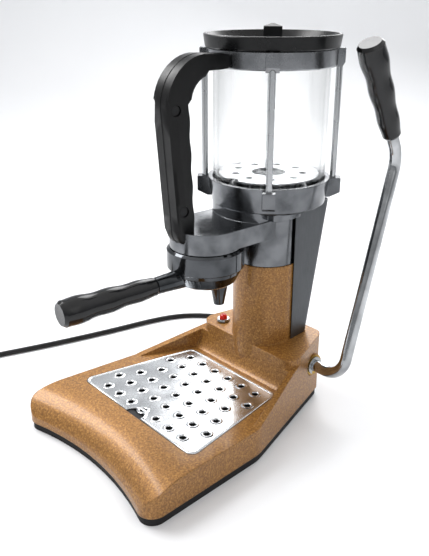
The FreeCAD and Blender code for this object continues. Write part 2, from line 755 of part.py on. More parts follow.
clip_mouth = box("clip_mouth", 8, 2 * S.shaft_radius - 4, 20, bush_flange_outside, shaft_y,
                 S.shaft_level - 20)
part("shaft_clip", cut("shaft_clip_ring", clip_outer,
                       cylinder("clip_bore", S.shaft_radius - 0.8, 8, bush_flange_outside - 2, shaft_y,
                                S.shaft_level, ALONG_X), clip_mouth))


def shaft_bush(side):
    """A flanged bush from outside; side is 1 for the lever's side and -1 for the other."""
    name = "right" if side > 0 else "left"
    outline = [(S.shaft_radius + S.running_gap, 0), (bush_radius, 0), (bush_radius, 14),
               (bush_radius + 2.5, 14), (bush_radius + 2.5, 16), (S.shaft_radius + S.running_gap, 16)]
    turn = Rotation(Vector(0, 1, 0), 90 * side)
    start = side * (bush_flange_outside - 16)
    return turned(f"shaft_bush_{name}", outline, start, shaft_y, S.shaft_level, turn)


part("shaft_bushes", fuse("shaft_bush_pair", shaft_bush(1), shaft_bush(-1)))


def grip_shape(tang_depth):
    """A grip along +Z with three swells that grow towards its round end."""
    length = float(S.grip_length)
    neck, end = float(S.grip_neck_radius), float(S.grip_end_radius)
    points = []
    for k in range(19):
        t = k / 18
        swell = 0.09 * (math.cos(2 * math.pi * (3 * t - 0.5)) - 1) / 2
        points.append(Vector((neck + (end - neck) * t) * (1 + swell), 0, length * (0.02 + 0.95 * t)))
    curve = Part.BSplineCurve()
    curve.interpolate(points)
    top = Vector(0, 0, length)
    inside_top = Vector(points[-1].x - 2.2, 0, length)
    edges = [Part.makeLine(Vector(0, 0, 0), Vector(points[0].x - 1.2, 0, 0)),
             Part.makeLine(Vector(points[0].x - 1.2, 0, 0), points[0]), curve.toShape(),
             Part.makeLine(points[-1], inside_top), Part.makeLine(inside_top, top),
             Part.makeLine(top, Vector(0, 0, 0))]
    solid = Part.Face(Part.Wire(edges)).revolve(Vector(), Vector(0, 0, 1), 360)
    return solid.cut(Part.makeCylinder(float(S.shaft_radius), tang_depth))


lever_grip = shaped("lever_grip_body", grip_shape(tang_length))
lever_grip.Placement = Placement(grip_start, Rotation(Vector(0, 0, 1), grip_way))
part("lever_grip", lever_grip)

# ---------------------------------------------------------------- group and reservoir floor casting

group_y = -S.group_offset
floor_top = S.reservoir_floor + S.reservoir_floor_thickness
rebate_radius = S.glass_radius + 0.3
seal_floor = S.glass_bottom - S.seal_thickness
cup_inner = S.glass_radius - S.glass_wall - 2
cup_outline = [(0, S.reservoir_floor), (S.cup_ring_foot_radius - 4, S.reservoir_floor),
               (S.cup_ring_foot_radius, S.reservoir_floor + 3), (S.cup_ring_radius, S.cup_ring_top),
               (rebate_radius, S.cup_ring_top), (rebate_radius, seal_floor), (cup_inner, seal_floor),
               (cup_inner, floor_top), (0, floor_top)]


def lug(name, low, high, foot, reach, turn):
    """A lug for a tie rod, cut back towards its foot."""
    inner = S.top_ring_radius - 6
    outline = [(inner, high), (reach, high), (reach, high - (high - low) * 0.75), (foot, low), (inner, low)]
    return slab(name, outline, S.lug_width, "XZ_Plane", turn=turn)


cup_lugs = four_ways(lambda i, turn: lug(f"cup_lug_{i}", S.cup_ring_top - 20, S.cup_ring_top - 1,
                                         S.cup_ring_foot_radius + 4, S.cup_lug_reach, turn))
lug_inside = cylinder("cup_lug_inside", rebate_radius, 40, z=S.cup_ring_top - 25)
lugs_trimmed = cut("cup_lugs_trimmed", fuse("cup_lugs", *cup_lugs), lug_inside)
sleeve = cylinder("sleeve_blank", S.sleeve_radius, S.reservoir_floor - S.column_top, z=S.column_top)
bridge_reach = 33.0
bridge_rear = S.cover_front - 0.5
bridge = rounded("bridge_plate", box("bridge_blank", 90, bridge_rear + bridge_reach, 7, 0,
                                     (bridge_rear - bridge_reach) / 2, S.reservoir_floor - 6), 7, is_upright)
neck_rear = S.sleeve_radius - 10
group_arm = slab("group_arm", [(group_y, S.group_bottom + 2), (group_y, S.group_top),
                               (-neck_rear, S.group_top), (-neck_rear, S.group_bottom + 2)],
                 2 * S.group_radius)
neck_round = cylinder("neck_round", S.cup_ring_foot_radius - 0.5, S.reservoir_floor + 3 - S.group_top + 4,
                      z=S.group_top - 4)
neck = common("group_neck", neck_round, box("neck_extent", 2 * S.group_radius - 2, 60, BIG, 0,
                                            -neck_rear - 30, S.group_top - 10))
group_barrel = cylinder("group_barrel", S.group_radius, S.group_top - S.group_bottom, 0, group_y,
                        S.group_bottom)
spigot = cylinder("group_spigot", S.spigot_radius, S.group_bottom - S.spigot_bottom + 1, 0, group_y,
                  S.spigot_bottom)
chamber = cylinder("group_chamber", S.cup_radius - 2, 17, 0, group_y, S.spigot_bottom - 1)
inlet = cylinder("inlet_port", 6, 20, 0, 0, S.reservoir_floor - 6)
terminal_reach = 34.0
terminal_holes = [cylinder(f"terminal_hole_{side}", 3.6, 20, side * 12, terminal_reach, S.reservoir_floor - 8)
                  for side in (1, -1)]
casting_blank = fuse("group_casting_blank", turned("cup_blank", cup_outline), lugs_trimmed, sleeve, bridge,
                     group_arm, neck, group_barrel, spigot)
liner_bore = cylinder("liner_bore", S.liner_outer_radius + 0.05, liner_top - S.column_top + 10,
                      z=S.column_top - 10)
rod_bores = [cylinder(f"cup_rod_bore_{i}", S.tie_rod_radius + 0.2, 40, *on_rod_circle(i), S.cup_ring_top - 12)
             for i in range(4)]
pin_radius = 1.3
pin_level = (S.ring_bottom + S.ring_top) / 2 - 1


def bayonet_pins(name, radius, reach):
    """Pins across the group's spigot that carry the portafilter's ring."""
    bearing = math.radians(PIN_BEARING)
    blank = cylinder(name, radius, 2 * reach, -dim(reach) * math.cos(bearing),
                     group_y - dim(reach) * math.sin(bearing), pin_level,
                     Rotation(Vector(0, 0, 1), PIN_BEARING).multiply(ALONG_X))
    inner = cylinder(name + "_core", S.spigot_radius - 5, 20, 0, group_y, pin_level - 10)
    return cut(name + "_pair", blank, inner)


part("group_casting", cut("group_casting_body", casting_blank, liner_bore, chamber, duct_bore,
                          inlet, bayonet_pins("pin_hole", pin_radius, S.spigot_radius), *terminal_holes,
                          *rod_bores))
part("bayonet_pins", bayonet_pins("bayonet_pin", pin_radius, S.ring_radius - 1.7))
part("group_gasket", tube("group_gasket_ring", S.spigot_radius, S.cup_radius - 2, 2, 0, group_y,
                          S.spigot_bottom - 2))
screen_holes = [cylinder(f"screen_hole_{ring}_{k}", 1.1, 6,
                         ring * 5.5 * math.cos(math.pi * k / (3 * ring)),
                         group_y + ring * 5.5 * math.sin(math.pi * k / (3 * ring)), S.spigot_bottom - 3)
                for ring in (1, 2, 3) for k in range(6 * ring)]
part("shower_screen", cut("shower_screen_disc", cylinder("screen_blank", S.cup_radius - 2, 1.2, 0, group_y,
                                                         S.spigot_bottom - 1.6), *screen_holes))

# ---------------------------------------------------------------- portafilter

portafilter_axis = Rotation(Vector(0, 0, 1), -float(S.portafilter_turn))
ring_floor = S.spigot_bottom - 2 - S.part_gap - S.basket_wall
ring_outline = [(S.cup_radius - S.cup_wall, S.cup_bottom + S.cup_wall), (0, S.cup_bottom + S.cup_wall),
                (0, S.cup_bottom), (S.cup_radius, S.cup_bottom), (S.cup_radius + 2.6, S.cup_bottom + 2),
                (S.ring_radius - 3, S.ring_bottom - 4), (S.ring_radius - 2, S.ring_bottom),
                (S.ring_radius - 0.6, S.ring_bottom), (S.ring_radius, S.ring_bottom + 0.8),
                (S.ring_radius, S.ring_top - 2.2), (S.ring_radius - 2.2, S.ring_top),
                (S.ring_bore_radius, S.ring_top), (S.ring_bore_radius, ring_floor),
                (S.cup_radius - S.cup_wall, ring_floor)]
arm_level = S.ring_bottom - 7.5
arm_droop = 1.7


def slot_cut(side):
    """The bayonet slot's curved window, long enough for the turn to the unlocked stop."""
    reach = float(S.ring_radius) - 1.1
    low, high = float(pin_level - pin_radius - 0.3), float(pin_level + pin_radius + 0.3)
    first = PIN_BEARING + float(S.portafilter_turn) - SLOT_END
    sweep = float(S.portafilter_travel) + 2 * SLOT_END
    shape = Part.makeCylinder(reach, high - low, Vector(0, 0, low), Vector(0, 0, 1), sweep)
    shape.rotate(Vector(), Vector(0, 0, 1), first + (180 if side < 0 else 0))
    inner = Part.makeCylinder(float(S.ring_bore_radius) - 0.1, high - low, Vector(0, 0, low))
    return shape.cut(inner)


def entry_cut(side):
    """The open notch at the unlocked end, through which a pin enters from above."""
    low = float(pin_level)
    width = 2 * float(pin_radius) + 1.2
    notch_box = Part.makeBox(10, width, 40, Vector(float(S.ring_bore_radius) - 1, -width / 2, low))
    inner_band = Part.makeCylinder(float(S.ring_radius) - 1.1, 40, Vector(0, 0, low))
    notch_shape = notch_box.common(inner_band)
    unlocked = PIN_BEARING + float(S.portafilter_turn) + float(S.portafilter_travel)
    notch_shape.rotate(Vector(), Vector(0, 0, 1), unlocked + (180 if side < 0 else 0))
    return notch_shape


ring_blank = turned("portafilter_ring_blank", ring_outline)
slots = shaped("bayonet_slots", slot_cut(1).fuse(slot_cut(-1)).fuse(entry_cut(1)).fuse(entry_cut(-1)))
spout_axis = S.spout_offset
arm_turn = Rotation(Vector(1, 0, 0), 90 + arm_droop)
arm_start = S.cup_radius - 1.5
arm_length = S.portafilter_grip_start - arm_start
arm = cone("portafilter_arm", S.shaft_radius + 3.5, S.shaft_radius + 2, arm_length, 0, -arm_start, arm_level,
           arm_turn)
tang = cylinder("portafilter_tang", S.shaft_radius, arm_length + tang_length, 0, -arm_start, arm_level,
                arm_turn)
spout_hole = cone("spout_bore", 2.6, 4.6, S.spout_length + 8, 0, spout_axis,
                  S.cup_bottom - S.spout_length - 1)
spout_cone = cone("spout_cone", 5.2, 10.5, S.spout_length + 1, 0, spout_axis, S.cup_bottom - S.spout_length)
basket_hollow = cylinder("basket_space", S.cup_radius - S.cup_wall, 40, z=S.cup_bottom + S.cup_wall)
flange_space = cylinder("flange_space", S.ring_bore_radius, 40, z=ring_floor)
body_blank = fuse("portafilter_blank", ring_blank, cut("arm_outside", arm, basket_hollow, flange_space),
                  cut("tang_outside", tang, cylinder("tang_trim", S.cup_radius - 0.5, 40, z=S.cup_bottom)),
                  spout_cone)
portafilter = cut("portafilter_body_shape", body_blank, slots, spout_hole)


def on_group_axis(obj):
    """Moves a piece made about the origin to the group's axis, turned as the handle stands."""
    return place(obj, 0, group_y, 0, portafilter_axis)


part("portafilter_body", on_group_axis(portafilter))
basket_radius = S.cup_radius - S.cup_wall - 0.3
basket_floor = S.cup_bottom + S.cup_wall + 1.5
basket_outline = [(0, basket_floor), (basket_radius - 2, basket_floor), (basket_radius, basket_floor + 2),
                  (basket_radius, ring_floor), (S.ring_bore_radius - 1, ring_floor),
                  (S.ring_bore_radius - 1, ring_floor + S.basket_wall),
                  (basket_radius - S.basket_wall, ring_floor + S.basket_wall),
                  (basket_radius - S.basket_wall, basket_floor + 2.4),
                  (basket_radius - 2.4, basket_floor + S.basket_wall), (0, basket_floor + S.basket_wall)]
part("filter_basket", on_group_axis(turned("filter_basket_bowl", basket_outline)))
portafilter_grip = shaped("portafilter_grip_body", grip_shape(tang_length))
grip_tilt = math.radians(arm_droop)
grip_root = Vector(0, -float(S.portafilter_grip_start),
                   float(arm_level) - float(arm_length) * math.tan(grip_tilt))
grip_heading = Vector(0, -math.cos(grip_tilt), -math.sin(grip_tilt))
grip_spot = Placement(grip_root, Rotation(Vector(0, 0, 1), grip_heading))
portafilter_grip.Placement = Placement(Vector(0, float(group_y), 0), portafilter_axis).multiply(grip_spot)
part("portafilter_grip", portafilter_grip)

# ---------------------------------------------------------------- reservoir

glass_top = S.top_ring_bottom + 6
glass_inner = S.glass_radius - S.glass_wall
part("lower_seal", tube("lower_seal_ring", S.glass_radius, cup_inner, S.seal_thickness, z=seal_floor))
part("reservoir_glass", tube("reservoir_glass_tube", S.glass_radius, glass_inner, glass_top - S.glass_bottom,
                             z=S.glass_bottom))
part("upper_seal", tube("upper_seal_ring", S.glass_radius, glass_inner, S.seal_thickness, z=glass_top))
seal_top = glass_top + S.seal_thickness
top_outline = [(S.glass_radius + 0.3, S.top_ring_bottom), (S.top_ring_radius - 1, S.top_ring_bottom),
               (S.top_ring_radius, S.top_ring_bottom + 1), (S.top_ring_radius, S.top_ring_top - 1),
               (S.top_ring_radius - 1, S.top_ring_top), (glass_inner, S.top_ring_top),
               (glass_inner, seal_top), (S.glass_radius + 0.3, seal_top)]
top_lugs = four_ways(lambda i, turn: lug(f"top_lug_{i}", S.top_ring_bottom - 1, S.top_ring_top - 0.5,
                                         S.top_ring_radius + 4, S.top_lug_reach, turn))
top_lugs_trimmed = cut("top_lugs_trimmed", fuse("top_lugs", *top_lugs),
                       cylinder("top_lug_inside", S.glass_radius + 0.3, 60, z=S.top_ring_bottom - 20))
top_bores = [cylinder(f"top_rod_bore_{i}", S.tie_rod_radius + 0.2, 60, *on_rod_circle(i),
                      S.top_ring_bottom - 20) for i in range(4)]
nut_radius = S.tie_rod_radius + 1.0
nut_level = S.top_ring_top - 4
nut_recesses = [cylinder(f"nut_recess_{i}", nut_radius + 0.2, 8, *on_rod_circle(i), nut_level)
                for i in range(4)]
part("top_ring", cut("top_ring_body", fuse("top_ring_blank", turned("top_ring_turned", top_outline),
                                           top_lugs_trimmed), *top_bores, *nut_recesses))
rod_bottom = S.cup_ring_top - 12
rod_top = nut_level + 2
part("tie_rods", fuse("tie_rod_set", *[cylinder(f"tie_rod_{i}", S.tie_rod_radius, rod_top - rod_bottom,
                                                *on_rod_circle(i), rod_bottom) for i in range(4)]))


def nut(name, x, y):
    """A round nut sunk in the lug, over the end of a tie rod."""
    outline = [(S.tie_rod_radius, 0), (nut_radius, 0), (nut_radius, 3), (nut_radius - 0.8, 3.6), (0, 3.6),
               (0, 2), (S.tie_rod_radius, 2)]
    return turned(name, outline, x, y, nut_level)


part("tie_rod_nuts", fuse("tie_rod_nut_set", *[nut(f"tie_rod_nut_{i}", *on_rod_circle(i)) for i in range(4)]))
lid_skirt = glass_inner - 0.6
lid_floor = S.top_ring_top + 5.5
lid_outline = [(0, lid_floor - 2.5), (lid_skirt - 2, lid_floor - 2.5), (lid_skirt - 2, S.top_ring_top - 5),
               (lid_skirt, S.top_ring_top - 5), (lid_skirt, S.top_ring_top),
               (S.lid_rim_radius - 2.6, S.top_ring_top), (S.lid_rim_radius - 1.6, S.top_ring_top + 1),
               (S.lid_rim_radius, S.lid_top - 1), (S.lid_rim_radius - 0.6, S.lid_top),
               (S.lid_rim_radius - 3.0, S.lid_top), (S.top_ring_radius - 5, lid_floor), (0, lid_floor)]
part("lid", turned("lid_dish", lid_outline))
knob_base = lid_floor
knob_point = 2.5
knob_side = S.lid_knob_top - knob_base - knob_point
knob_top = doc.addObject("Part::Wedge", "lid_knob_top_wedge")
half_knob = S.lid_knob_width / 2
bind(knob_top, Xmin=-half_knob, Xmax=half_knob, Zmin=-half_knob, Zmax=half_knob, Ymin=0, Ymax=knob_point,
     X2min=-1.5, X2max=1.5, Z2min=-1.5, Z2max=1.5)
cornerwise = Rotation(Vector(0, 0, 1), 45)
place(knob_top, 0, 0, knob_base + knob_side, cornerwise.multiply(Rotation(Vector(1, 0, 0), 90)))
knob_stem = bind(doc.addObject("Part::Box", "lid_knob_stem"), Length=S.lid_knob_width, Width=S.lid_knob_width,
                 Height=knob_side)
place(knob_stem, 0, -half_knob * math.sqrt(2), knob_base, cornerwise)
part("lid_knob", fuse("lid_knob_body", knob_stem, knob_top))

guard_disc_radius = glass_inner - S.guard_disc_gap
hole_circle = guard_disc_radius - 16
disc_holes = [cylinder(f"disc_hole_{k}", 4.0, 8, hole_circle * math.cos(math.radians(40 * k)),
                       hole_circle * math.sin(math.radians(40 * k)), S.guard_disc_level - 4)
              for k in range(9)]
disc_notches = [cylinder(f"disc_notch_{name}", 7, 8, x, y, S.guard_disc_level - 4)
                for name, x, y in (("front", 0, -guard_disc_radius - 1),
                                   ("left", -guard_disc_radius - 1, 0))]
part("guard_disc", cut("guard_disc_plate",
                       cylinder("guard_disc_blank", guard_disc_radius, 1.5, z=S.guard_disc_level),
                       cylinder("guard_disc_eye", 16.6, 8, z=S.guard_disc_level - 4),
                       *disc_holes, *disc_notches))
leg_turns = (30, 150, 270)
part("guard_disc_legs", fuse("guard_disc_leg_set", *[
    cylinder(f"guard_disc_leg_{turn}", 2, S.guard_disc_level - floor_top,
             24 * math.cos(math.radians(turn)), 24 * math.sin(math.radians(turn)), floor_top)
    for turn in leg_turns]))
element_level = floor_top + 9
element_ring = torus("element_ring", 36, 3.2, z=element_level)
element_legs = [cylinder(f"element_leg_{side}", 3.0, 23, side * 12, terminal_reach, element_level - 23)
                for side in (1, -1)]
element_gap = box("element_gap", 24 - 5, 12, 12, 0, 36, element_level - 6)
part("heating_element", fuse("heating_element_body", cut("element_open_ring", element_ring, element_gap),
                             *element_legs))
part("inlet_valve", turned("inlet_valve_flap", [(0, 0.2), (5.6, 0.2), (5.6, 6), (9.5, 6), (9, 7.6), (3, 9.4),
                                                (0, 9.4)], z=S.reservoir_floor))

# ---------------------------------------------------------------- handle


def handle_outline_wire():
    """The handle's side view: an arm to the top ring, a long grip and a foot on the group."""
    front, depth = -float(S.handle_front_reach), float(S.handle_grip_depth)
    arm_top, arm_depth = float(S.handle_arm_top), float(S.handle_arm_depth)
    foot = float(S.handle_foot_level)
    group_front = float(group_y) - float(S.group_radius)
    ring_front = -float(S.top_ring_radius) - 0.2
    shoulder = 40.0
    foot_front = group_front - 4.5

    def at(y, z):
        return Vector(0, y, z)

    outer = [at(ring_front + 1.5, arm_top - 2), at(front + shoulder, arm_top)]
    bend_mid = at(front + shoulder * 0.29, arm_top - shoulder * 0.33)
    grip_top = at(front, arm_top - shoulder)
    edges = [Part.makeLine(outer[0], outer[1]), Part.Arc(outer[1], bend_mid, grip_top).toShape()]
    low_front = at(foot_front - 1.5, foot + 16)
    edges += [Part.makeLine(grip_top, low_front),
              Part.Arc(low_front, at(foot_front + 1.2, foot + 6), at(group_front + 8, foot)).toShape()]
    inner_bottom = at(group_front + depth * 0.55, float(S.group_top))
    edges.append(Part.makeLine(at(group_front + 8, foot), at(group_front + depth * 0.55, foot)))
    edges.append(Part.makeLine(at(group_front + depth * 0.55, foot), inner_bottom))
    inner_top = at(front + depth, arm_top - shoulder)
    wave_points = []
    for k in range(13):
        t = k / 12
        swell = float(S.finger_wave) * math.sin(4 * math.pi * t) ** 2
        wave_points.append(inner_bottom + (inner_top - inner_bottom) * t + Vector(0, swell, 0))
    waves = Part.BSplineCurve()
    waves.interpolate(wave_points)
    edges.append(waves.toShape())
    inner_shoulder = shoulder - arm_depth
    arc_end = at(inner_top.y + inner_shoulder * 0.9, arm_top - arm_depth)
    arc_mid = at(inner_top.y + inner_shoulder * 0.25, arm_top - arm_depth - inner_shoulder * 0.32)
    edges.append(Part.Arc(inner_top, arc_mid, arc_end).toShape())
    arm_end = at(ring_front + 1.5, arm_top - arm_depth)
    edges += [Part.makeLine(arc_end, arm_end), Part.makeLine(arm_end, outer[0])]
    return Part.Wire(edges)


handle_bosses = ((S.handle_front_reach - 9.5, 314.0), (S.handle_front_reach - 16.5, 225.0))


def handle_half(side):
    """Half of the handle, with its screw hole and screw recesses."""
    half = float(S.handle_thickness) / 2
    solid = Part.Face(handle_outline_wire()).extrude(Vector(side * half, 0, 0))
    solid = solid.cut(Part.makeCylinder(float(S.group_radius) + 0.1, 14,
                                        Vector(0, float(group_y), float(S.group_top) - 14)))
    solid = solid.cut(Part.makeCylinder(float(S.top_ring_radius) + 0.1, 60,
                                        Vector(0, 0, float(S.top_ring_bottom) - 20)))
    for reach, level in handle_bosses:
        centre = Vector(0, -float(reach), level)
        along = Vector(side, 0, 0)
        solid = solid.cut(Part.makeCylinder(1.55, half, centre, along))
        solid = solid.cut(Part.makeCylinder(4.6, 3, centre + along * (half - 3), along))
    return solid


part("handle_half_right", shaped("handle_half_right_body", handle_half(1)))
part("handle_half_left", shaped("handle_half_left_body", handle_half(-1)))
screw_reach = S.handle_thickness / 2 - 3
part("handle_screws", fuse("handle_screw_set", *[
    turned(f"handle_screw_{k}", [(0, -screw_reach), (1.5, -screw_reach), (1.5, screw_reach),
                                 (4.2, screw_reach), (4.2, screw_reach + 1.8), (0, screw_reach + 1.8)],
           0, -reach, level, ALONG_X) for k, (reach, level) in enumerate(handle_bosses)]))

# ---------------------------------------------------------------- rear cover

cover_top = S.reservoir_floor - 0.1


def cover_block(name, inset, low_drop):
    """The cover's outside for an inset of 0: upright front edge and a sloping back."""
    slope = (S.shoulder_rear_level - S.shoulder_front_level) / (S.rear_reach + 10 + S.shoulder_reach)
    foot_front = S.shoulder_front_level + slope * (S.cover_front + S.shoulder_reach) + 0.2
    foot_rear = S.shoulder_front_level + slope * (S.cover_foot_reach + S.shoulder_reach) + 0.2
    rake = (S.cover_top_reach - S.cover_foot_reach) / (cover_top - foot_rear)
    outline = [(S.cover_front - inset, foot_front - low_drop),
               (S.cover_foot_reach - inset - rake * low_drop, foot_rear - low_drop),
               (S.cover_top_reach - inset, cover_top - 0.2), (S.cover_front - inset, cover_top - 0.2)]
    block = slab(name, outline, 2 * (S.cover_half_width - inset))
    return rounded(name + "_rounded", block, 7 - inset,
                   lambda e: e.CenterOfMass.y > float(S.cover_front) + 5 and abs(e.CenterOfMass.x) > 20
                   and e.BoundBox.ZLength > 60)


cover_outer = cover_block("rear_cover_outer", dim(0), 0)
cover_inner = cover_block("rear_cover_inner", S.cover_sheet, 8)
cover_screw_level = 130.0
bracket_reach = S.cover_foot_reach + (S.cover_top_reach - S.cover_foot_reach) * 0.44 - 1.5
cover_screw_hole = cylinder("cover_screw_hole", 1.7, 30, 0, bracket_reach - 6, cover_screw_level, ALONG_Y)
part("rear_cover", cut("rear_cover_sheet", cover_outer, cover_inner, cover_screw_hole))
bracket_arm = box("cover_bracket_arm", 14, bracket_reach - 2 - S.column_back_reach, 12, 0,
                  (bracket_reach - 2 + S.column_back_reach) / 2, cover_screw_level - 6)
part("cover_bracket", cut("cover_bracket_body", bracket_arm,
                          cylinder("bracket_thread", 1.5, 30, 0, S.column_back_reach + 1, cover_screw_level,
                                   ALONG_Y)))
part("rear_cover_screw", turned("rear_cover_screw_body", [(0, -9), (1.5, -9), (1.5, 2.4), (3.4, 2.4),
                                                          (3.4, 4.4), (0, 4.4)],
                                0, bracket_reach, cover_screw_level, ALONG_Y))
part("thermostat", cylinder("thermostat_puck", 8, 9, 0, S.sleeve_radius + 9, S.reservoir_floor - 9))

# ---------------------------------------------------------------- pilot lamp

lamp_x, lamp_y = -S.rear_half_width + 2, -16.0
lamp_slope = (S.shoulder_rear_level - S.shoulder_front_level) / (S.rear_reach + 10 + S.shoulder_reach)
lamp_level = S.shoulder_front_level + lamp_slope * (lamp_y + S.shoulder_reach) + 0.9
part("lamp_bezel", turned("lamp_bezel_ring", [(4.4, -8), (5.1, -8), (5.1, 0), (7.4, 0), (6.6, 2.2),
                                              (4.4, 2.2)],
                          lamp_x, lamp_y, lamp_level))
part("lamp_lens", turned("lamp_lens_dome", [(0, -12), (4.3, -12), (4.3, 2.2), (4.2, 4.0), (3.4, 5.8),
                                            (2.0, 6.9), (0, 7.3)],
                         lamp_x, lamp_y, lamp_level))

# ---------------------------------------------------------------- mains lead

exit_point = Vector(-float(S.lead_exit_side), float(S.rear_reach), float(S.lead_exit_level))
relief = turned("strain_relief_cone", [(0, -2), (S.lead_radius + 0.9, -2), (S.lead_radius + 0.9, 0),
                                       (S.relief_radius + 1.5, 0), (S.relief_radius + 1.5, 2),
                                       (S.relief_radius, 2), (S.lead_radius + 0.8, S.relief_length),
                                       (0, S.relief_length)],
                -S.lead_exit_side, S.rear_reach, S.lead_exit_level, ALONG_Y)
part("strain_relief", relief)
lead_level = float(S.lead_radius)
coil_centre = Vector(-302, -262, 0)
lead_start = exit_point + Vector(0, float(S.relief_length), 0)
lead_route = [lead_start, lead_start + Vector(0, 12, 0), Vector(-32, 94, 11), Vector(-52, 117, 4.5),
              Vector(-88, 122, lead_level), Vector(-125, 103, lead_level), Vector(-161, 78, lead_level),
              Vector(-196, 47, lead_level),
              Vector(-210, 2, lead_level), Vector(-217, -44, lead_level), Vector(-227, -90, lead_level),
              Vector(-239, -140, lead_level), Vector(-254, -190, lead_level),
              Vector(-264, -232, lead_level), Vector(-268, -268, lead_level)]


def lead_tube(points):
    """The lead's tube: each bend is as wide as its two runs allow; prints the radii."""
    radii = []
    for before, corner, after in zip(points, points[1:], points[2:]):
        turn = math.pi - (before - corner).getAngle(after - corner)
        shorter = min((before - corner).Length, (after - corner).Length)
        radii.append(0.45 * shorter / math.tan(turn / 2))
    path = rounded_path(points, radii)
    tube_solid = swept_rod(path, float(S.lead_radius))
    section = math.pi * float(S.lead_radius) ** 2
    print("lead radii", [round(r) for r in radii], "length", round(path.Length),
          "volume ratio", round(tube_solid.Volume / (section * path.Length), 4))
    return tube_solid


coil_outer = S.coil_radius + 2 * S.lead_radius
coil_inner = S.coil_radius - 2 * S.lead_radius
coil_height = 2 * S.lead_radius * S.coil_layers
coil = tube("cord_coil_ring", coil_outer, coil_inner, coil_height, coil_centre.x, coil_centre.y, 0)
part("power_cord", shaped("power_cord_tube", lead_tube(lead_route).cut(
    Part.makeCylinder(float(coil_outer), 60, coil_centre))))
plug_x = coil_centre.x - S.coil_radius
plug_y = coil_centre.y + 18
plug_body = slab("plug_blank", [(0, 0), (0, 14), (24, 14), (36, 10), (36, 4), (24, 0)], 22, "XZ_Plane",
                 x=plug_x, y=plug_y, z=coil_height, turn=Rotation(Vector(0, 0, 1), -90))
part("cord_coil", coil)
part("cord_plug", rounded("cord_plug_body", plug_body, 2.0, lambda e: e.BoundBox.XLength > 20))
part("plug_pins", fuse("plug_pin_pair", *[
    cylinder(f"plug_pin_{side}", 2.0, 19, plug_x + side * 9.5, plug_y, coil_height + 7, ALONG_Y)
    for side in (1, -1)]))
tie_clear = 1.2
tie_centre = coil_centre + Vector(0, float(S.coil_radius), 0)
tie_outer = box("cord_tie_outer", 8, 4 * S.lead_radius + 2.4 * tie_clear, coil_height + 2 * tie_clear,
                tie_centre.x, tie_centre.y, 0)
part("cord_tie", cut("cord_tie_band", tie_outer, coil))

# ---------------------------------------------------------------- write the parts

doc.recompute()
for obj in doc.Objects:
    if "Invalid" in obj.State or "Error" in obj.State:
        raise RuntimeError(f"{obj.Label} did not recompute: {obj.State}")
for label, obj in parts:
    if obj.Shape.isNull() or not obj.Shape.isValid():
        raise RuntimeError(f"{label} has no valid shape")

os.makedirs("parts", exist_ok=True)
for label, obj in parts:
    obj.Shape.exportStep(f"parts/{label}.step")
    box_size = obj.Shape.BoundBox
    print(f"{label:22s} solids {len(obj.Shape.Solids)} "
          f"x {box_size.XMin:.1f}..{box_size.XMax:.1f} y {box_size.YMin:.1f}..{box_size.YMax:.1f} "
          f"z {box_size.ZMin:.1f}..{box_size.ZMax:.1f}")
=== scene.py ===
import bmesh
import bpy
import math
from mathutils import Matrix, Vector


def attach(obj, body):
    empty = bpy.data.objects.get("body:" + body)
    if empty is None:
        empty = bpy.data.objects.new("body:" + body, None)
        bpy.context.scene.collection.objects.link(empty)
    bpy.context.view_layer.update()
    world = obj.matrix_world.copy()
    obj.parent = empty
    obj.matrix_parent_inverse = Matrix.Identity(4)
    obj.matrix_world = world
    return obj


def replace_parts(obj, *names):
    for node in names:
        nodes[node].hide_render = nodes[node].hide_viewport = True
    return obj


# Manual lever espresso machine with a glass water reservoir. The scene is in metres, and the shapes
# made here are given in millimetres. +X is the lever's side, the drip tray faces -Y, the table is Z = 0.

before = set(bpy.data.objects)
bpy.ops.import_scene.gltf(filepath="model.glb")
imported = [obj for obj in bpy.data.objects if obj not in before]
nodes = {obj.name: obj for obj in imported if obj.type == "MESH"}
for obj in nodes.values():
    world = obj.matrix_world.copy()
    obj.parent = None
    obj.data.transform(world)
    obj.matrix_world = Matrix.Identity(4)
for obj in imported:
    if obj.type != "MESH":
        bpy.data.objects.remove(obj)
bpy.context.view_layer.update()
MM = 0.001
BEVEL_SAMPLES = 6
SHARP = 35              # degrees between faces from which an edge stays sharp
AXIS_RADIUS = 0.001     # millimetres; closes a turned shape at its axis

# ---------------------------------------------------------------- camera

camera = bpy.data.objects.new("camera", bpy.data.cameras.new("camera"))
camera.location = (0.479, -0.4916, 0.408)
camera.rotation_euler = (math.radians(67.782), 0, math.radians(48.711))
camera.data.lens = 45.81
camera.data.sensor_width = 36
camera.data.clip_start = 0.01
bpy.context.collection.objects.link(camera)
bpy.context.scene.camera = camera

# ---------------------------------------------------------------- materials


def linear(code):
    """The linear colour of an sRGB hex code."""
    values = [int(code[i:i + 2], 16) / 255 for i in (0, 2, 4)]
    return tuple(v / 12.92 if v <= 0.04045 else ((v + 0.055) / 1.055) ** 2.4 for v in values) + (1.0,)


def per_mm(size):
    """A pattern's scale from the real size of one of its cells in millimetres."""
    return 1000.0 / size


def add(tree, kind, feeds, **settings):
    """A node with its settings; each feed is a number, a colour or another node's socket."""
    made = tree.nodes.new(kind)
    for name, value in settings.items():
        setattr(made, name, value)
    for socket, value in feeds.items():
        if isinstance(value, bpy.types.NodeSocket):
            tree.links.new(value, made.inputs[socket])
        else:
            made.inputs[socket].default_value = value
    return made


def begin(name, **shader):
    """A material with one Principled shader, whose even settings stay on its own sockets."""
    material = bpy.data.materials.new(name)
    material.use_nodes = True
    tree = material.node_tree
    tree.nodes.clear()
    feeds = {key.replace("_", " "): value for key, value in shader.items()}
    surface = add(tree, "ShaderNodeBsdfPrincipled", feeds)
    add(tree, "ShaderNodeOutputMaterial", {"Surface": surface.outputs["BSDF"]})
    where = add(tree, "ShaderNodeTexCoord", {}).outputs["Object"]
    return material, tree, surface, where


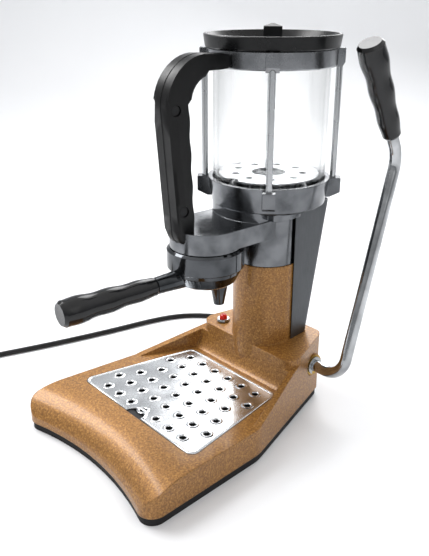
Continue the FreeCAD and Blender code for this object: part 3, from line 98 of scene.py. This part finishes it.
def noise(tree, where, size, detail, roughness=0.5):
    """A noise whose cells are a size in millimetres."""
    return add(tree, "ShaderNodeTexNoise", {"Vector": where, "Scale": per_mm(size), "Detail": detail,
                                            "Roughness": roughness})


def spread(tree, value, low, high, start=0.0, end=1.0):
    """A value between low and high, spread over start to end."""
    return add(tree, "ShaderNodeMapRange", {"Value": value, "From Min": low, "From Max": high,
                                            "To Min": start, "To Max": end}).outputs[0]


def blend(tree, share, first, second):
    """A mix of two colours, each a hex code or a socket."""
    ends = [linear(colour) if isinstance(colour, str) else colour for colour in (first, second)]
    return add(tree, "ShaderNodeMix", {0: share, 6: ends[0], 7: ends[1]}, data_type="RGBA").outputs[2]


def relief(tree, height, strength, depth, rounding=None):
    """A bump of a depth in millimetres, over edges rounded to a radius in millimetres."""
    feeds = {"Height": height, "Strength": strength, "Distance": depth * MM}
    if rounding is not None:
        feeds["Normal"] = add(tree, "ShaderNodeBevel", {"Radius": rounding * MM},
                              samples=BEVEL_SAMPLES).outputs[0]
    return add(tree, "ShaderNodeBump", feeds).outputs[0]


def feed(tree, surface, colour, rough=None, normal=None):
    """Links a shader's colour, and its roughness and normal where it has them."""
    for socket, value in (("Base Color", colour), ("Roughness", rough), ("Normal", normal)):
        if value is not None:
            tree.links.new(value, surface.inputs[socket])


def hammertone_enamel():
    """Hammertone stoving enamel on cast aluminium. The gold paint draws up into small cells while
    it bakes, so bright crowns stand between fine dark brown specks under a clear gloss."""
    material, tree, surface, where = begin("hammertone enamel", Metallic=0.3, Coat_Weight=0.35,
                                           Coat_Roughness=0.16, Coat_IOR=1.5)
    drift = noise(tree, where, 4, 2.0)
    shifted = add(tree, "ShaderNodeVectorMath", {0: drift.outputs["Color"], 1: (1.6 * MM,) * 3, 2: where},
                  operation="MULTIPLY_ADD").outputs[0]
    cells = add(tree, "ShaderNodeTexVoronoi", {"Vector": shifted, "Scale": per_mm(2.2), "Smoothness": 0.6},
                feature="SMOOTH_F1")
    crown = spread(tree, cells.outputs["Distance"], 0.1, 0.6, 1.0, 0.0)
    specks = noise(tree, shifted, 1.8, 2.0, 0.6).outputs["Fac"]
    broad = noise(tree, where, 60, 2.0).outputs["Fac"]
    spotted = blend(tree, spread(tree, specks, 0.40, 0.56), "7c5222", blend(tree, crown, "9c6c30", "c08c46"))
    aged = blend(tree, broad, spotted, "a0702f")
    feed(tree, surface, blend(tree, 0.75, aged, spotted), spread(tree, specks, 0.0, 1.0, 0.34, 0.55),
         relief(tree, crown, 0.3, 0.2, rounding=2.0))
    return material


def polished_metal(name, dark, light, smooth, dull, grain, depth, rounding=0.6):
    """A metal with a fine grain: dark and light are its colours, smooth and dull its roughness,
    grain the size of its grain in millimetres and depth the grain's height."""
    material, tree, surface, where = begin(name, Metallic=1.0)
    fine = noise(tree, where, grain, 4.0).outputs["Fac"]
    smears = noise(tree, where, 24, 3.0).outputs["Fac"]
    wiped = spread(tree, smears, 0.35, 0.7)
    both = add(tree, "ShaderNodeMath", {0: wiped, 1: fine}, operation="MULTIPLY").outputs[0]
    feed(tree, surface, blend(tree, wiped, light, dark), spread(tree, both, 0.0, 0.6, smooth, dull),
         relief(tree, fine, 0.25, depth, rounding))
    return material


def brushed_metal(name, dark, light, smooth, dull, stretch):
    """A metal with straight brush lines; stretch makes them long along one axis."""
    material, tree, surface, where = begin(name, Metallic=1.0)
    run = add(tree, "ShaderNodeMapping", {"Vector": where, "Scale": stretch}).outputs[0]
    lines = noise(tree, run, 0.35, 3.0, 0.6).outputs["Fac"]
    patches = noise(tree, where, 30, 3.0).outputs["Fac"]
    feed(tree, surface, blend(tree, lines, dark, light), spread(tree, patches, 0.3, 0.7, smooth, dull),
         relief(tree, lines, 0.2, 0.05, rounding=0.4))
    return material


def moulded_plastic(name, dark, light, smooth, dull, grain, depth, coat=0.0):
    """A moulded plastic: fine mould grain, small changes of gloss and a few rubbed places."""
    material, tree, surface, where = begin(name, IOR=1.5, Specular_IOR_Level=0.3, Coat_Weight=coat,
                                           Coat_Roughness=0.06)
    fine = noise(tree, where, grain, 3.0).outputs["Fac"]
    rubbed = noise(tree, where, 18, 4.0, 0.6).outputs["Fac"]
    worn = spread(tree, rubbed, 0.4, 0.7)
    feed(tree, surface, blend(tree, worn, dark, light), spread(tree, rubbed, 0.35, 0.65, smooth, dull),
         relief(tree, fine, 0.3, depth, rounding=0.5))
    return material


def drawn_glass():
    """Drawn borosilicate tube: clear, with a faint waviness in its wall and a little dust."""
    material, tree, surface, where = begin("drawn glass tube", Transmission_Weight=1.0, IOR=1.46)
    run = add(tree, "ShaderNodeMapping", {"Vector": where, "Scale": (1.0, 1.0, 0.2)}).outputs[0]
    waves = noise(tree, run, 30, 1.0).outputs["Fac"]
    dust = noise(tree, where, 6, 4.0).outputs["Fac"]
    facing = add(tree, "ShaderNodeLayerWeight", {"Blend": 0.4}).outputs["Facing"]
    tree.links.new(spread(tree, facing, 0.3, 1.0, 0.16, 0.75), surface.inputs["Alpha"])
    feed(tree, surface, blend(tree, dust, "fbfdfc", "f1f6f4"), spread(tree, dust, 0.5, 0.8, 0.0, 0.05),
         relief(tree, waves, 0.15, 0.3))
    return material


def lamp_lens():
    """Moulded acrylic pilot lens: deep red and clear, with the moulding's fine ribs round it."""
    material, tree, surface, where = begin("red acrylic", Roughness=0.08, IOR=1.49,
                                           Transmission_Weight=0.35, Emission_Strength=0.25,
                                           Emission_Color=linear("c01808"))
    ribs = add(tree, "ShaderNodeTexWave", {"Vector": where, "Scale": per_mm(8), "Distortion": 0.5},
               bands_direction="Z").outputs["Fac"]
    feed(tree, surface, blend(tree, ribs, "a80f0a", "d8281a"))
    return material


ENAMEL = hammertone_enamel()
# The cast and satin aluminium colours are set far darker than real aluminium: painted dark reflections.
CAST = polished_metal("buffed cast aluminium", "55575a", "7d7f82", 0.16, 0.32, 0.7, 0.06, rounding=1.0)
TOP = polished_metal("satin cast aluminium", "75777a", "a2a4a7", 0.2, 0.36, 0.7, 0.06, rounding=0.8)
# The nickel colours are set far darker than real nickel plate: painted dark reflections.
PLATE = polished_metal("nickel plate with painted dark reflections", "36383a", "585a5d", 0.06, 0.2, 1.2, 0.015, rounding=0.8)
CHROME = polished_metal("chromium plate", "9c9ea0", "c9cbcd", 0.06, 0.16, 1.5, 0.01)
STEEL = polished_metal("turned steel", "8f9193", "bcbec0", 0.2, 0.38, 0.5, 0.02, rounding=0.3)
BRASS = polished_metal("turned brass", "9b7a3c", "c9a55c", 0.2, 0.36, 0.5, 0.02, rounding=0.3)
GRID = brushed_metal("pressed aluminium sheet", "b9bbbd", "e8eaec", 0.14, 0.28, (0.06, 1.0, 1.0))
# The steel cover's colours are set darker than real steel: painted dark reflections.
COVER = brushed_metal("satin steel cover", "4c4e50", "696b6e", 0.34, 0.46, (1.0, 1.0, 0.04))
SHEET = brushed_metal("satin aluminium sheet", "a9abad", "d5d7d9", 0.2, 0.34, (1.0, 0.05, 1.0))
BAKELITE = moulded_plastic("polished phenolic resin", "0a0a0b", "17171a", 0.12, 0.26, 1.2, 0.02, coat=0.4)
HANDLE = moulded_plastic("moulded ABS", "040405", "0b0b0c", 0.3, 0.46, 0.9, 0.05)
LID = moulded_plastic("moulded black nylon", "08090a", "161718", 0.26, 0.4, 1.0, 0.04)
SOLE = moulded_plastic("moulded rubber", "131314", "242425", 0.6, 0.8, 0.8, 0.1)
SEAL = moulded_plastic("nitrile rubber", "1a1a1b", "2a2a2b", 0.5, 0.65, 0.6, 0.05)
CORD = moulded_plastic("extruded PVC", "101011", "1f1f21", 0.32, 0.5, 0.7, 0.04)
NYLON = moulded_plastic("natural nylon", "cfc9b6", "ded9c9", 0.4, 0.55, 0.9, 0.03)
PAINTED = moulded_plastic("stoved black sheet", "161617", "28282a", 0.4, 0.55, 0.8, 0.04)
GLASS = drawn_glass()
LENS = lamp_lens()

FINISHES = {
    ENAMEL: ("base_casting",),
    CAST: ("group_casting", "cover_bracket"),
    TOP: ("top_ring",),
    PLATE: ("portafilter_body",),
    CHROME: ("lever_rod", "lamp_bezel", "tie_rod_nuts", "bayonet_pins"),
    STEEL: ("bottom_cover_screws", "piston_rack", "sector_gear", "gear_pin", "return_spring", "shaft_clip",
            "heating_element", "rear_cover_screw"),
    BRASS: ("cylinder_liner", "piston", "rod_guide", "shaft_bushes", "plug_pins"),
    GRID: ("drip_grid", "guard_disc"),
    SHEET: ("shower_screen", "filter_basket", "tie_rods", "guard_disc_legs"),
    COVER: ("rear_cover",),
    BAKELITE: ("lever_grip", "portafilter_grip"),
    HANDLE: ("handle_half_right", "handle_half_left"),
    LID: ("lid", "lid_knob"),
    SOLE: ("rubber_sole",),
    SEAL: ("piston_seals", "group_gasket", "lower_seal", "upper_seal", "inlet_valve"),
    CORD: ("power_cord", "cord_coil", "cord_plug", "cord_tie", "strain_relief"),
    NYLON: ("rack_guide", "thermostat"),
    # The drip pan takes the dark sheet so the grid's holes and finger notch show dark: painted shade inside
    # the pan.
    PAINTED: ("bottom_cover", "drip_pan", "handle_screws"),
    GLASS: ("reservoir_glass",),
    LENS: ("lamp_lens",),
}
for finish, names in FINISHES.items():
    for name in names:
        for held in nodes[name].material_slots:
            held.material = finish

# ---------------------------------------------------------------- mesh helpers


def piece(name, build, finish, body="machine", sharp=SHARP):
    """A new piece from mesh code, which rides on a body and takes a finish."""
    mesh = bpy.data.meshes.new(name)
    work = bmesh.new()
    build(work)
    bmesh.ops.recalc_face_normals(work, faces=work.faces)
    work.to_mesh(mesh)
    work.free()
    mesh.materials.append(finish)
    mesh.shade_smooth()
    mesh.set_sharp_from_angle(angle=math.radians(sharp))
    made = bpy.data.objects.new(name, mesh)
    bpy.context.collection.objects.link(made)
    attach(made, body)
    return made


def turned(work, profile, place, steps=32):
    """Revolves (radius, height) points about the Z axis of a placement matrix."""
    rings = []
    for radius, height in profile:
        ring = [work.verts.new(place @ Vector((radius * math.cos(a), radius * math.sin(a), height)))
                for a in (2 * math.pi * k / steps for k in range(steps))]
        rings.append(ring)
    for low, high in zip(rings, rings[1:]):
        for k in range(steps):
            work.faces.new((low[k], low[(k + 1) % steps], high[(k + 1) % steps], high[k]))


def arc_through(start, middle, end, steps):
    """Points on the circle through three points of a plane, without its last point."""
    ax, ay, bx, by, cx, cy = *start, *middle, *end
    d = 2 * (ax * (by - cy) + bx * (cy - ay) + cx * (ay - by))
    a2, b2, c2 = ax ** 2 + ay ** 2, bx ** 2 + by ** 2, cx ** 2 + cy ** 2
    ux = (a2 * (by - cy) + b2 * (cy - ay) + c2 * (ay - by)) / d
    uy = (a2 * (cx - bx) + b2 * (ax - cx) + c2 * (bx - ax)) / d
    radius = math.hypot(ax - ux, ay - uy)
    first = math.atan2(ay - uy, ax - ux)
    half = (math.atan2(by - uy, bx - ux) - first + math.pi) % (2 * math.pi) - math.pi
    sweep = (math.atan2(cy - uy, cx - ux) - first) % (2 * math.pi)
    if half < 0:
        sweep -= 2 * math.pi
    turns = [first + sweep * k / steps for k in range(steps)]
    return [(ux + radius * math.cos(a), uy + radius * math.sin(a)) for a in turns]


def settle(made):
    """Turns a piece's modifiers into its own mesh."""
    seen = made.evaluated_get(bpy.context.evaluated_depsgraph_get())
    mesh = bpy.data.meshes.new_from_object(seen)
    made.modifiers.clear()
    made.data = mesh


def upright(x, y, z):
    """A placement at a point given in millimetres."""
    return Matrix.Translation((x * MM, y * MM, z * MM))


def scaled(profile):
    """A profile given in millimetres, in metres."""
    return [(r * MM, z * MM) for r, z in profile]


# ---------------------------------------------------------------- mains lead and its coil

LEAD_RADIUS = 3.0
COIL_X, COIL_Y = -302.0, -262.0
LEAD_POINTS = [(-30, 36, 18), (-30, 48, 18), (-30, 62, 18), (-30, 74, 18), (-32, 94, 11), (-52, 117, 4.5),
               (-88, 122, 3), (-125, 103, 3), (-161, 78, 3), (-196, 47, 3), (-210, 2, 3), (-217, -44, 3),
               (-227, -90, 3), (-239, -140, 3), (-254, -190, 3), (-264, -228, 3)]
COIL_LAYERS = [(36, 3), (30, 3), (30, 9), (36, 9), (36, 15), (30, 15)]
COIL_STEPS, LAST_TURN_STEPS, CHANGE_STEPS = 16, 5, 5
PLUG_POINTS = [(-300, -293, 15.4), (-312, -295, 18), (-322, -293, 21.5), (-331, -288, 24.5),
               (-335, -281, 25), (-335, -272, 25)]


def coil_points():
    """Five full turns and a third of one, clockwise from above. COIL_LAYERS holds the radius and
    the level of each; a turn passes to the next over its last steps, and the end goes to the plug."""
    spread_out = 3 / (2 + math.cos(2 * math.pi / COIL_STEPS))
    last = len(COIL_LAYERS) - 1
    points = []
    for turn, (radius, level) in enumerate(COIL_LAYERS):
        next_radius, next_level = COIL_LAYERS[min(turn + 1, last)]
        for step in range(LAST_TURN_STEPS if turn == last else COIL_STEPS):
            share = max(0.0, (step - COIL_STEPS + CHANGE_STEPS) / CHANGE_STEPS)
            reach = (radius + (next_radius - radius) * share) * spread_out
            height = level + (next_level - level) * share
            angle = -2 * math.pi * step / COIL_STEPS
            points.append((COIL_X + reach * math.cos(angle), COIL_Y + reach * math.sin(angle), height))
    return points + PLUG_POINTS


lead_curve = bpy.data.curves.new("mains_lead", "CURVE")
lead_curve.dimensions = "3D"
lead_curve.bevel_depth = LEAD_RADIUS * MM
lead_curve.bevel_resolution = 5
lead_curve.resolution_u = 6
lead_curve.use_fill_caps = True
spline = lead_curve.splines.new("NURBS")
route = LEAD_POINTS + coil_points()
spline.points.add(len(route) - 1)
for control, (x, y, z) in zip(spline.points, route):
    control.co = (x * MM, y * MM, z * MM, 1)
spline.order_u = 4
spline.use_endpoint_u = True
lead_curve.materials.append(CORD)
mains_lead = bpy.data.objects.new("mains_lead", lead_curve)
bpy.context.collection.objects.link(mains_lead)
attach(mains_lead, "machine")
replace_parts(mains_lead, "power_cord", "cord_coil")

# ---------------------------------------------------------------- handle

HALF_HANDLE = 10.0
HANDLE_SCREWS = ((-121.5, 314.0), (-114.5, 225.0))
SEAM_GAP = 0.08
SIDE_ROUNDING, SEAM_ROUNDING = 3.6, 0.5
RECESS_RADIUS, RECESS_DEPTH, TOOL_LENGTH = 4.6, 3.0, 8.0
FINGER_STEPS, FINGER_WAVE = 32, 1.2
BACK_STEPS = 8


def handle_outline():
    """(y, z) of the side view: the outer line from the ring to the foot, then the finger side back."""
    outline = [(-59.2, 356), (-76, 357.2)]
    outline += arc_through((-91, 358), (-119.4, 344.8), (-131, 318), 12)
    outline += [(-131 + 8.7 * t / BACK_STEPS, 318 - 110 * t / BACK_STEPS) for t in range(BACK_STEPS)]
    outline += arc_through((-122.3, 208), (-119.6, 198), (-108.3, 192), 5)
    outline += [(-108.3, 192), (-104.2, 192)]
    for k in range(FINGER_STEPS + 1):
        t = k / FINGER_STEPS
        wave = FINGER_WAVE * math.sin(4 * math.pi * t) ** 2
        outline.append((-104.2 - 4.8 * t + wave, 205 + 113 * t))
    outline += arc_through((-109, 318), (-102.5, 335.7), (-85.6, 344), 8)[1:]
    return outline + [(-85.6, 344), (-72, 344), (-59.2, 344)]


def handle_half(side):
    """One moulding of the handle, for side 1 or -1, with its rounded edges and screw recesses."""
    def build(work):
        outline = [Vector((0, y * MM, z * MM)) for y, z in handle_outline()]
        inner = [work.verts.new(p + Vector((side * SEAM_GAP * MM, 0, 0))) for p in outline]
        outer = [work.verts.new(p + Vector((side * HALF_HANDLE * MM, 0, 0))) for p in outline]
        work.faces.new(inner)
        work.faces.new(outer)
        count = len(outline)
        for k in range(count):
            work.faces.new((inner[k], inner[(k + 1) % count], outer[(k + 1) % count], outer[k]))
        for ring, reach, steps in ((outer, SIDE_ROUNDING, 5), (inner, SEAM_ROUNDING, 1)):
            kept = set(ring)
            edges = [e for e in work.edges if e.verts[0] in kept and e.verts[1] in kept]
            bmesh.ops.bevel(work, geom=edges, offset=reach * MM, segments=steps, profile=0.5,
                            affect="EDGES", clamp_overlap=True)

    def plugs(work):
        profile = [(AXIS_RADIUS, 0), (RECESS_RADIUS, 0), (RECESS_RADIUS, TOOL_LENGTH),
                   (AXIS_RADIUS, TOOL_LENGTH)]
        for y, z in HANDLE_SCREWS:
            place = upright(side * (HALF_HANDLE - RECESS_DEPTH), y, z)
            turned(work, scaled(profile), place @ Matrix.Rotation(side * math.pi / 2, 4, "Y"))

    made = piece("handle_right" if side > 0 else "handle_left", build, HANDLE)
    tool = piece("recess_tool", plugs, HANDLE)
    carve = made.modifiers.new("recess", "BOOLEAN")
    carve.object = tool
    carve.solver = "EXACT"
    settle(made)
    bpy.data.objects.remove(tool)
    made.data.set_sharp_from_angle(angle=math.radians(SHARP))
    return made


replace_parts(handle_half(1), "handle_half_right")
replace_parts(handle_half(-1), "handle_half_left")

# ---------------------------------------------------------------- drip grid

GRID_TOP = 36.0
HOLE_PITCH = 20.0
HOLE_ROWS = 6
FRONT_MARGIN, SIDE_MARGIN = 12, 10.5
FRONT_REACH, REAR_REACH, FRONT_HALF, REAR_HALF = 173.5, 47.0, 87.7, 64.6
CORNER_RADIUS = 8.0
NOTCH_RADIUS, NOTCH_STEPS = 11.0, 12


def hole_places():
    """Six staggered rows, each as wide as the tapering grid allows."""
    taper = (FRONT_HALF - REAR_HALF) / (FRONT_REACH - REAR_REACH)
    places = []
    for row in range(HOLE_ROWS):
        y = -FRONT_REACH + FRONT_MARGIN + HOLE_PITCH * row
        room = FRONT_HALF - taper * (y + FRONT_REACH) - SIDE_MARGIN
        shift = 0.5 * (row % 2)
        most = math.floor(room / HOLE_PITCH - shift)
        steps = range(-most, most + 1) if shift == 0 else [k + 0.5 for k in range(-most - 1, most + 1)]
        places += [(HOLE_PITCH * k, y) for k in steps]
    return places


def hole_collars(work):
    """The pressed collar round each hole: a low crown outside and a smooth throat inside."""
    throat = [(3.05, -1.3), (3.1, -0.6), (3.3, -0.05), (3.7, 0.32), (4.3, 0.5), (5.0, 0.42), (5.7, 0.18),
              (6.3, 0.01)]
    for x, y in hole_places():
        turned(work, scaled(throat), upright(x, y, GRID_TOP), 28)


def grid_edge():
    """The edge of the grid with its rounded corners and finger notch, as (x, y) points."""
    corners = [(FRONT_HALF, -FRONT_REACH), (REAR_HALF, -REAR_REACH), (-REAR_HALF, -REAR_REACH),
               (-FRONT_HALF, -FRONT_REACH)]
    line = []
    for k, corner in enumerate(corners):
        here = Vector(corner)
        back = (Vector(corners[k - 1]) - here).normalized()
        ahead = (Vector(corners[(k + 1) % 4]) - here).normalized()
        half = back.angle(ahead) / 2
        reach = CORNER_RADIUS / math.tan(half)
        first, last = here + back * reach, here + ahead * reach
        middle = here + (back + ahead).normalized() * (CORNER_RADIUS / math.sin(half) - CORNER_RADIUS)
        line += arc_through(tuple(first), tuple(middle), tuple(last), 8) + [tuple(last)]
    turns = [math.pi * k / NOTCH_STEPS for k in range(NOTCH_STEPS + 1)]
    return line + [(-NOTCH_RADIUS * math.cos(a), -FRONT_REACH + NOTCH_RADIUS * math.sin(a)) for a in turns]


def folded_rim(work):
    """The rolled bead along the grid's edge."""
    line = [Vector(p) for p in grid_edge()]
    section = [(0.0, -1.0), (0.25, -0.2), (0.1, 0.45), (-0.6, 0.75), (-1.6, 0.6), (-2.4, 0.15), (-2.9, 0.0)]
    count = len(line)
    rings = []
    for k, here in enumerate(line):
        way = (line[(k + 1) % count] - line[k - 1]).normalized()
        out = Vector((way.y, -way.x))
        rings.append([work.verts.new(Vector(((here.x + out.x * a) * MM, (here.y + out.y * a) * MM,
                                             (GRID_TOP + b) * MM))) for a, b in section])
    for k in range(count):
        low, high = rings[k], rings[(k + 1) % count]
        for i in range(len(section) - 1):
            work.faces.new((low[i], high[i], high[i + 1], low[i + 1]))


piece("grid_collars", hole_collars, GRID, "drip_grid", sharp=60)
piece("grid_rim", folded_rim, GRID, "drip_grid", sharp=60)

# ---------------------------------------------------------------- floor and light


def studio_surface():
    """Matt lacquered board: pale, almost even, with a faint mottle."""
    material, tree, surface, where = begin("matt lacquered board")
    mottle = add(tree, "ShaderNodeTexNoise", {"Vector": where, "Scale": 3.0, "Detail": 3.0}).outputs["Fac"]
    feed(tree, surface, blend(tree, mottle, "ecedef", "f2f3f5"), spread(tree, mottle, 0.0, 1.0, 0.45, 0.6))
    return material


RIGHT = Vector((0.660, 0.751, 0))
AWAY = Vector((-0.751, 0.660, 0))
AIM = Vector((0, -0.05, 0.18))
FLOOR_REACH = 4.0
SWEEP_START, SWEEP_RADIUS, BACKDROP_TOP = 1.6, 0.5, 3.0


def floor_sweep(work):
    """The board on the table, which curves up into a backdrop behind the machine."""
    line = [(-FLOOR_REACH, 0.0), (SWEEP_START, 0.0)]
    line += [(SWEEP_START + SWEEP_RADIUS * math.sin(math.radians(a)),
              SWEEP_RADIUS - SWEEP_RADIUS * math.cos(math.radians(a))) for a in range(10, 91, 10)]
    line.append((SWEEP_START + SWEEP_RADIUS, BACKDROP_TOP))
    sides = [[work.verts.new(RIGHT * side + AWAY * away + Vector((0, 0, height))) for away, height in line]
             for side in (-FLOOR_REACH, FLOOR_REACH)]
    for k in range(len(line) - 1):
        work.faces.new((sides[0][k], sides[1][k], sides[1][k + 1], sides[0][k + 1]))


floor = bpy.data.meshes.new("floor")
floor_work = bmesh.new()
floor_sweep(floor_work)
floor_work.to_mesh(floor)
floor_work.free()
floor.shade_smooth()
floor.materials.append(studio_surface())
floor_object = bpy.data.objects.new("floor", floor)
bpy.context.collection.objects.link(floor_object)


def soft_box(name, side, away, height, width, power):
    """An area light that faces the machine. Its side, away and height are in metres from the
    frame's origin, across the main view, along it and up; its power is in watts."""
    light = bpy.data.lights.new(name, "AREA")
    light.size = width
    light.energy = power
    holder = bpy.data.objects.new(name, light)
    holder.location = RIGHT * side + AWAY * away + Vector((0, 0, height))
    holder.rotation_euler = (AIM - holder.location).to_track_quat("-Z", "Y").to_euler()
    bpy.context.collection.objects.link(holder)


soft_box("key", -0.9, 0.35, 1.3, 0.8, 18)
soft_box("fill", 0.5, -1.3, 0.9, 1.2, 1.5)
soft_box("back", 0.4, 1.3, 1.2, 1.2, 20)

world = bpy.data.worlds.new("studio")
world.use_nodes = True
sky = world.node_tree.nodes["Background"]
sight = add(world.node_tree, "ShaderNodeTexCoord", {}).outputs["Generated"]
height = add(world.node_tree, "ShaderNodeSeparateXYZ", {0: sight}).outputs["Z"]
shade = blend(world.node_tree, spread(world.node_tree, height, -0.1, 0.7), "7d8084", "ffffff")
world.node_tree.links.new(shade, sky.inputs["Color"])
sky.inputs["Strength"].default_value = 0.9
bpy.context.scene.world = world
bpy.context.scene.view_settings.view_transform = "Standard"
